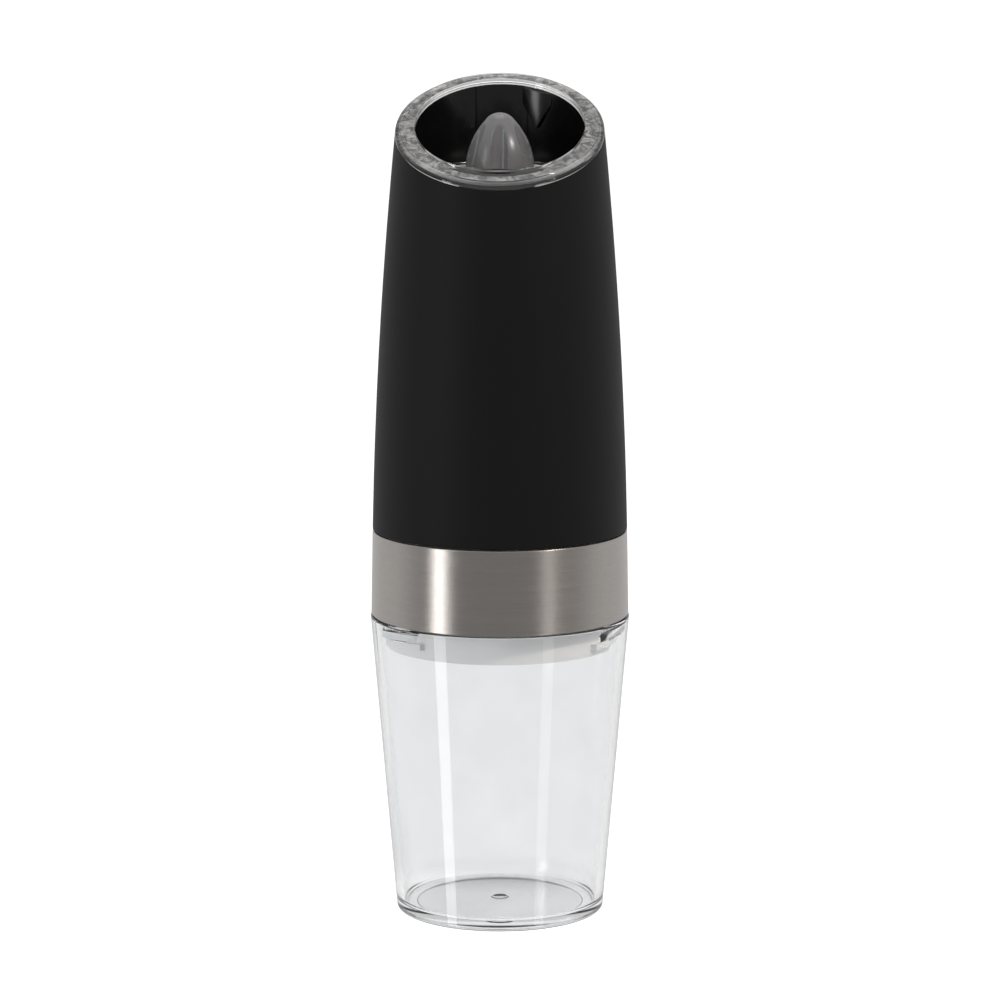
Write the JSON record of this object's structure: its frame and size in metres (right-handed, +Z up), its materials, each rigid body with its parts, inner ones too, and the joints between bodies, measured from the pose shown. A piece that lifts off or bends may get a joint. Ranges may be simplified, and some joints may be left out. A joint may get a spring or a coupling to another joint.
{
  "type": "pepper mill",
  "caption": "Battery pepper mill that grinds when turned over: clear jar foot, steel band, slanted black casing with light ring and adjusting dome.",
  "frame": {"origin": "centre of the jar's foot, on the surface it stands on", "axes": "+Z up along the mill's axis, -Y towards the low side of the slanted mouth"},
  "size_m": [0.0632, 0.0632, 0.205],
  "materials": {
    "clear_plastic": "clear moulded acrylic",
    "silicone": "soft translucent silicone",
    "pale_plastic": "pale moulded plastic",
    "brushed_steel": "brushed round the band",
    "screw_steel": "turned steel",
    "motor_steel": "zinc-plated sheet",
    "nickel": "nickel plate",
    "inner_black": "fine-textured moulding",
    "soft_black": "soft-touch coat",
    "gloss_black": "polished",
    "knob_grey": "satin, slightly translucent",
    "ceramic": "fine-grained ceramic",
    "brass": "turned",
    "copper": "enamelled wire and bare copper",
    "magnet": "sintered ferrite",
    "motor_cap": "natural nylon",
    "gear_plastic": "natural acetal",
    "board_green": "solder mask",
    "component_black": "moulded component bodies",
    "wire_insulation": "PVC insulation",
    "cell_sleeve": "printed film sleeve, plain",
    "lamp": "clear epoxy"
  },
  "bodies": {
    "jar": {"jar": "clear_plastic"},
    "seal": {"jar_gasket": "silicone"},
    "core": {"neck_ring": "pale_plastic", "base_collar": "pale_plastic", "steel_band": "brushed_steel", "collar_screws": "screw_steel", "core_body": "inner_black", "contact_springs": "nickel", "contact_plates": "nickel", "battery_leads": "wire_insulation", "circuit_board": "board_green", "board_components": "component_black", "tilt_switch": "nickel", "led": "lamp", "led_wires": "wire_insulation", "motor_can": "motor_steel", "motor_end_cap": "motor_cap", "brush_terminals": "brass", "motor_magnets": "magnet", "motor_screws": "screw_steel", "gearbox_plate": "motor_steel", "ring_gear_housing": "gear_plastic", "gearbox_cover": "gear_plastic", "gearbox_screws": "screw_steel", "output_bush": "brass", "shaft_seal": "silicone", "grinding_chamber": "inner_black", "chamber_screws": "screw_steel", "outer_burr": "ceramic", "battery_1": "cell_sleeve", "battery_2": "cell_sleeve", "battery_3": "cell_sleeve", "battery_4": "cell_sleeve", "battery_5": "cell_sleeve", "battery_6": "cell_sleeve"},
    "rotor": {"motor_shaft": "screw_steel", "armature_stack": "motor_steel", "armature_windings": "copper", "commutator": "copper", "sun_gear": "brass"},
    "first_carrier": {"carrier_1": "gear_plastic", "carrier_1_pins": "screw_steel"},
    "spindle": {"carrier_2": "gear_plastic", "carrier_2_pins": "screw_steel", "drive_shaft": "screw_steel", "burr_spring": "screw_steel"},
    "burr": {"inner_burr": "ceramic"},
    "knob": {"adjusting_knob": "knob_grey", "knob_insert": "brass"},
    "ball": {"tilt_ball": "nickel"},
    "shell": {"casing": "soft_black", "mouth_liner": "gloss_black", "back_panel": "gloss_black", "light_ring": "clear_plastic"},
    "planet_a1": {"first_planet_1": "gear_plastic"},
    "planet_b1": {"second_planet_1": "gear_plastic"},
    "planet_a2": {"first_planet_2": "gear_plastic"},
    "planet_b2": {"second_planet_2": "gear_plastic"},
    "planet_a3": {"first_planet_3": "gear_plastic"},
    "planet_b3": {"second_planet_3": "gear_plastic"}
  },
  "joints": [
    {"name": "body_rise", "type": "slide", "parent": "jar", "child": "seal", "axis": [0, 0, 1], "range_m": [0, 0.00167]},
    {"name": "body_turn", "type": "hinge", "parent": "seal", "child": "core", "pos_m": [0, 0, 0.084], "axis": [0, 0, 1], "range_deg": [0, 50]},
    {"name": "casing_lift", "type": "slide", "parent": "core", "child": "shell", "axis": [0, 0, 1], "range_m": [0, 0.104]},
    {"name": "ball_roll", "type": "slide", "parent": "core", "child": "ball", "axis": [0, 0, 1], "range_m": [0, 0.003]},
    {"name": "motor_spin", "type": "hinge", "parent": "core", "child": "rotor", "pos_m": [0, 0, 0.115], "axis": [0, 0, 1], "continuous": true},
    {"name": "first_carrier_spin", "type": "hinge", "parent": "core", "child": "first_carrier", "pos_m": [0, 0, 0.138], "axis": [0, 0, 1], "continuous": true},
    {"name": "spindle_spin", "type": "hinge", "parent": "core", "child": "spindle", "pos_m": [0, 0, 0.15], "axis": [0, 0, 1], "continuous": true},
    {"name": "burr_shift", "type": "slide", "parent": "spindle", "child": "burr", "axis": [0, 0, 1], "range_m": [-0.00043, 0.00064], "deforming": ["burr_spring"]},
    {"name": "knob_turn", "type": "hinge", "parent": "burr", "child": "knob", "pos_m": [0, 0, 0.19], "axis": [0, 0, 1], "range_deg": [-220, 330]},
    {"name": "first_planet_1_spin", "type": "hinge", "parent": "first_carrier", "child": "planet_a1", "pos_m": [0.0072, 0, 0.1347], "axis": [0, 0, 1], "continuous": true},
    {"name": "second_planet_1_spin", "type": "hinge", "parent": "spindle", "child": "planet_b1", "pos_m": [0.0072, 0, 0.1422], "axis": [0, 0, 1], "continuous": true},
    {"name": "first_planet_2_spin", "type": "hinge", "parent": "first_carrier", "child": "planet_a2", "pos_m": [-0.0036, 0.00624, 0.1347], "axis": [0, 0, 1], "continuous": true},
    {"name": "second_planet_2_spin", "type": "hinge", "parent": "spindle", "child": "planet_b2", "pos_m": [-0.0036, 0.00624, 0.1422], "axis": [0, 0, 1], "continuous": true},
    {"name": "first_planet_3_spin", "type": "hinge", "parent": "first_carrier", "child": "planet_a3", "pos_m": [-0.0036, -0.00624, 0.1347], "axis": [0, 0, 1], "continuous": true},
    {"name": "second_planet_3_spin", "type": "hinge", "parent": "spindle", "child": "planet_b3", "pos_m": [-0.0036, -0.00624, 0.1422], "axis": [0, 0, 1], "continuous": true}
  ],
  "couplings": [
    {"joint": "body_rise", "follows": "body_turn", "m_per_rad": 0.0019099},
    {"joint": "first_carrier_spin", "follows": "motor_spin", "ratio": 0.25},
    {"joint": "spindle_spin", "follows": "motor_spin", "ratio": 0.0625},
    {"joint": "knob_turn", "follows": "burr_shift", "rad_per_m": 8976},
    {"joint": "first_planet_1_spin", "follows": "motor_spin", "ratio": -0.75},
    {"joint": "second_planet_1_spin", "follows": "motor_spin", "ratio": -0.1875},
    {"joint": "first_planet_2_spin", "follows": "motor_spin", "ratio": -0.75},
    {"joint": "second_planet_2_spin", "follows": "motor_spin", "ratio": -0.1875},
    {"joint": "first_planet_3_spin", "follows": "motor_spin", "ratio": -0.75},
    {"joint": "second_planet_3_spin", "follows": "motor_spin", "ratio": -0.1875}
  ]
}
